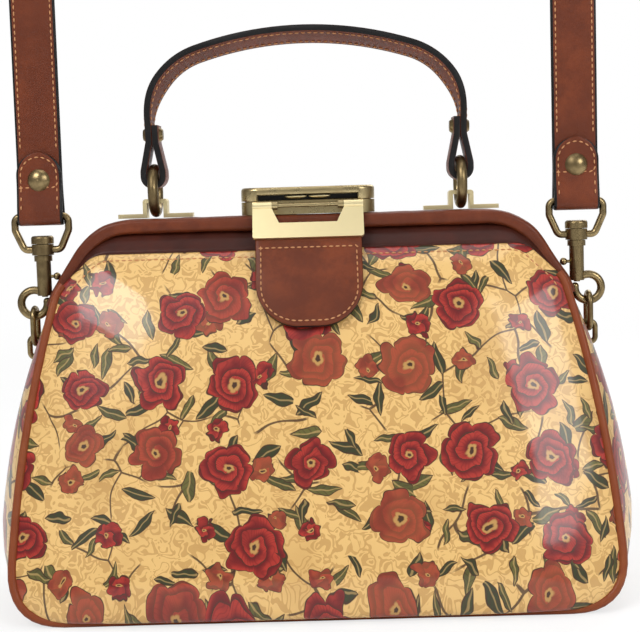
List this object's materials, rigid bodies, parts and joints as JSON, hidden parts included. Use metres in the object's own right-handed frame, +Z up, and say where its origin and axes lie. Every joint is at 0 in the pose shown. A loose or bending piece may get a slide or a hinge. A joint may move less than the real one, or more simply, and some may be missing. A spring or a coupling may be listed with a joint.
{
  "type": "satchel",
  "caption": "Frame-closure satchel in printed coated leather with brown trim, brass lock and hasp, a flat top handle and a clip-on shoulder strap",
  "frame": {"origin": "centre of the base on the surface it stands on", "axes": "+Z up, -Y to the front with the lock tab, +X along the bag's width"},
  "size_m": [0.3564, 0.1768, 0.5244],
  "materials": {
    "printed_leather": "glossy coated leather with an all-over flower print on a cream ground",
    "brown_leather": "smooth brown saddle leather",
    "board": "fibre board",
    "frame_steel": "plated steel",
    "antique_brass": "antique brass plating",
    "pale_brass": "pale polished brass"
  },
  "bodies": {
    "bag": {"front_panel": "printed_leather", "back_panel": "printed_leather", "gusset": "printed_leather", "front_piping": "brown_leather", "back_piping": "brown_leather", "base_board": "board", "back_frame_bar": "frame_steel", "back_frame_cover": "brown_leather", "back_band": "brown_leather", "pivot_pin_left": "frame_steel", "pivot_pin_right": "frame_steel", "handle_bracket_left": "pale_brass", "handle_bracket_right": "pale_brass", "shoulder_strap": "brown_leather", "strap_rivet_left": "antique_brass", "strap_rivet_right": "antique_brass", "strap_loop_left": "antique_brass", "strap_loop_right": "antique_brass", "side_link_left": "antique_brass", "side_link_right": "antique_brass", "side_staple_left": "antique_brass", "side_staple_right": "antique_brass"},
    "front_frame": {"front_frame_bar": "frame_steel", "front_frame_cover": "brown_leather", "front_band": "brown_leather", "lock_base": "antique_brass", "lock_lid": "antique_brass", "lock_spring_clip": "pale_brass", "hasp_pin": "antique_brass"},
    "hasp": {"hasp_plate": "pale_brass", "clasp_tab": "brown_leather"},
    "handle": {"handle_strap": "brown_leather", "handle_ring_left": "antique_brass", "handle_ring_right": "antique_brass", "handle_rivet_left": "antique_brass", "handle_rivet_right": "antique_brass"},
    "hook_left": {"snap_hook_left": "antique_brass"},
    "hook_right": {"snap_hook_right": "antique_brass"},
    "bolt_left": {"snap_bolt_left": "antique_brass"},
    "bolt_right": {"snap_bolt_right": "antique_brass"}
  },
  "joints": [
    {"name": "frame_open", "type": "hinge", "parent": "bag", "child": "front_frame", "pos_m": [0, 0, 0.164], "axis": [1, 0, 0], "range_deg": [0, 40], "deforming": ["front_panel", "front_piping", "gusset"]},
    {"name": "hasp_lift", "type": "hinge", "parent": "front_frame", "child": "hasp", "pos_m": [0, -0.0135, 0.2236], "axis": [-1, 0, 0], "range_deg": [0, 100]},
    {"name": "handle_swing", "type": "hinge", "parent": "bag", "child": "handle", "pos_m": [0, 0.007, 0.2343], "axis": [1, 0, 0], "range_deg": [-50, 50]},
    {"name": "hook_swivel_left", "type": "hinge", "parent": "bag", "child": "hook_left", "pos_m": [-0.155, 0, 0.2], "axis": [0, 0, 1], "range_deg": [-10, 10]},
    {"name": "hook_swivel_right", "type": "hinge", "parent": "bag", "child": "hook_right", "pos_m": [0.155, 0, 0.2], "axis": [0, 0, 1], "range_deg": [-10, 10]},
    {"name": "bolt_slide_left", "type": "slide", "parent": "hook_left", "child": "bolt_left", "axis": [0, 0, 1], "range_m": [0, 0.0065], "stiffness_N_per_m": 200, "springref_m": -0.002},
    {"name": "bolt_slide_right", "type": "slide", "parent": "hook_right", "child": "bolt_right", "axis": [0, 0, 1], "range_m": [0, 0.0065], "stiffness_N_per_m": 200, "springref_m": -0.002}
  ]
}
